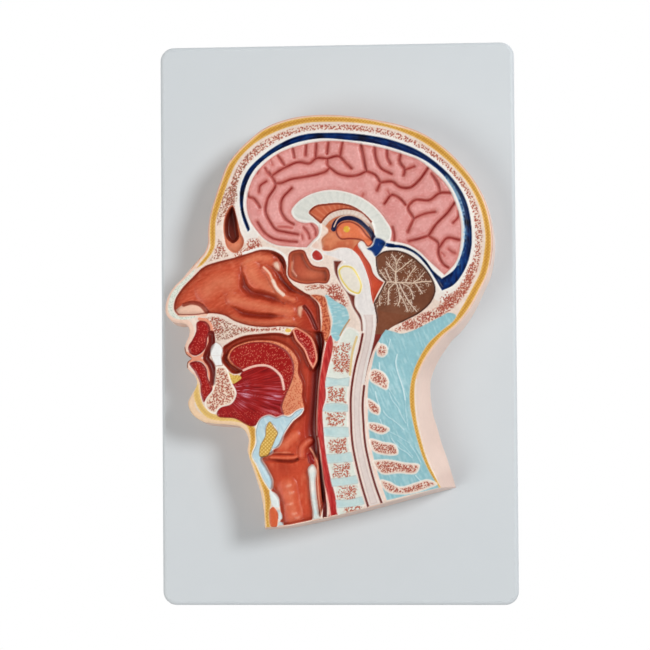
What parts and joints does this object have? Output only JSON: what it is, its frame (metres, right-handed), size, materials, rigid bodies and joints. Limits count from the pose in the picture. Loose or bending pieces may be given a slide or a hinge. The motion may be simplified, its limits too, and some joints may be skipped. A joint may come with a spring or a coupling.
{
  "type": "head cross-section anatomy model",
  "caption": "Relief model of a human head cut along its middle plane, with carved and painted brain, nose, mouth, throat and neck spine, on a plain rectangular board.",
  "frame": {"origin": "middle of the board's back plane", "axes": "the board lies on its back: +X from the nose to the back of the head, +Y to the crown, +Z out of the cut face"},
  "size_m": [0.26, 0.41, 0.05],
  "materials": {
    "board": "satin",
    "relief": "satin",
    "screw": "brushed",
    "washer": "brushed"
  },
  "bodies": {
    "root": {"base_board": "board", "head_relief": "relief", "relief_screws": "screw", "screw_washers": "washer"}
  },
  "joints": []
}
